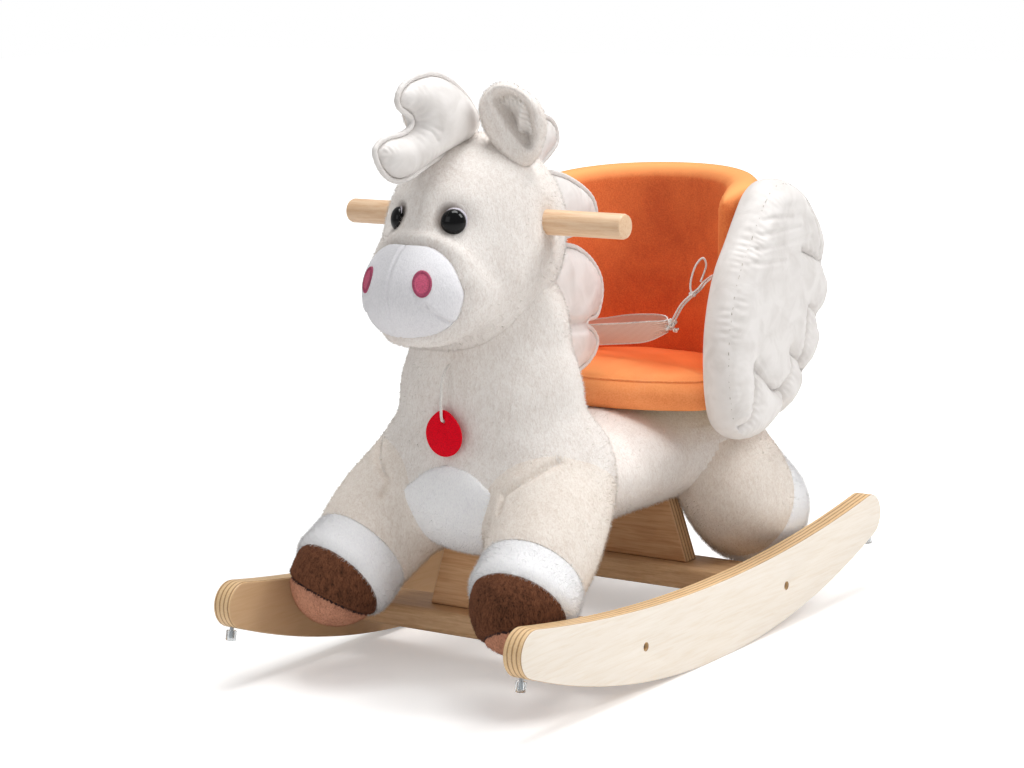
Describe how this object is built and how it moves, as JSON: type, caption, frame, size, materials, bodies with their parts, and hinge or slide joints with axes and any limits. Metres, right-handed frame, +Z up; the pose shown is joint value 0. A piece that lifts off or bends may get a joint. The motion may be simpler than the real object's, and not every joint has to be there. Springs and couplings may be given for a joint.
{
  "type": "baby ride-on toy",
  "caption": "Plush winged rocking horse on birch plywood rockers, with a handle bar through its head, a padded bucket seat and a seat belt.",
  "frame": {"origin": "floor point under the middle of the rockers", "axes": "+X the animal's left side, +Y its rear, +Z up; the nose points along -Y"},
  "size_m": [0.318, 0.593, 0.5169],
  "materials": {
    "birch_plywood": "clear satin varnish",
    "inner_plywood": "raw sanded",
    "beech": "clear satin varnish",
    "zinc_steel": "zinc plated",
    "cream_plush": "short pile plush",
    "white_plush": "short pile plush",
    "white_satin": "padded satin cotton",
    "brown_plush": "short pile plush",
    "orange_velvet": "cotton velvet",
    "pink_thread": "embroidered thread",
    "eye_plastic": "polished black",
    "belt_elastic": "woven elastic",
    "white_cord": "twisted cotton",
    "red_tag": "felt like, bare",
    "clear_stop": "clear, satin"
  },
  "bodies": {
    "base": {"back_shell": "inner_plywood", "backrest_pad": "orange_velvet", "chest_patch": "white_plush", "core_board": "inner_plywood", "ear_left": "cream_plush", "ear_right": "cream_plush", "eye_left": "eye_plastic", "eye_right": "eye_plastic", "forelock": "white_satin", "front_cuff_left": "white_plush", "front_cuff_right": "white_plush", "front_hoof_left": "brown_plush", "front_hoof_right": "brown_plush", "front_leg_left": "cream_plush", "front_leg_right": "cream_plush", "front_rail": "birch_plywood", "front_upright": "birch_plywood", "handle_bar": "beech", "handle_screw": "zinc_steel", "head": "cream_plush", "mane": "white_satin", "muzzle_cap": "white_plush", "neck": "cream_plush", "neck_post": "inner_plywood", "nostril_left": "pink_thread", "nostril_right": "pink_thread", "rail_bolt_front_left": "zinc_steel", "rail_bolt_front_right": "zinc_steel", "rail_bolt_rear_left": "zinc_steel", "rail_bolt_rear_right": "zinc_steel", "rear_cuff_left": "white_plush", "rear_cuff_right": "white_plush", "rear_hoof_left": "brown_plush", "rear_hoof_right": "brown_plush", "rear_leg_left": "cream_plush", "rear_leg_right": "cream_plush", "rear_rail": "birch_plywood", "rear_upright": "birch_plywood", "rocker_left": "birch_plywood", "rocker_right": "birch_plywood", "rocker_stop_front_left": "clear_stop", "rocker_stop_front_right": "clear_stop", "rocker_stop_rear_left": "clear_stop", "rocker_stop_rear_right": "clear_stop", "seat_board": "inner_plywood", "seat_bolt_front": "zinc_steel", "seat_bolt_rear": "zinc_steel", "seat_cushion": "orange_velvet", "tail": "white_satin", "trunk": "cream_plush", "upright_screw_front_left": "zinc_steel", "upright_screw_front_right": "zinc_steel", "upright_screw_rear_left": "zinc_steel", "upright_screw_rear_right": "zinc_steel", "wing_left": "white_satin", "wing_right": "white_satin"},
    "belt": {"belt_band": "belt_elastic", "belt_tie": "white_cord"},
    "tag_line": {"tag_cord": "white_cord"},
    "tag": {"tag_disc": "red_tag"}
  },
  "joints": [
    {"name": "tag_cord_lift", "type": "hinge", "parent": "base", "child": "tag_line", "pos_m": [0, -0.16665, 0.272], "axis": [-1, 0, 0], "range_deg": [0, 70]},
    {"name": "tag_disc_turn", "type": "hinge", "parent": "tag_line", "child": "tag", "pos_m": [0, -0.1769, 0.2266], "axis": [0, -1, 0], "range_deg": [-35, 35]},
    {"name": "belt_lift", "type": "hinge", "parent": "base", "child": "belt", "pos_m": [-0.0866, 0.112, 0.2605], "axis": [0, -1, 0], "range_deg": [0, 65]}
  ]
}
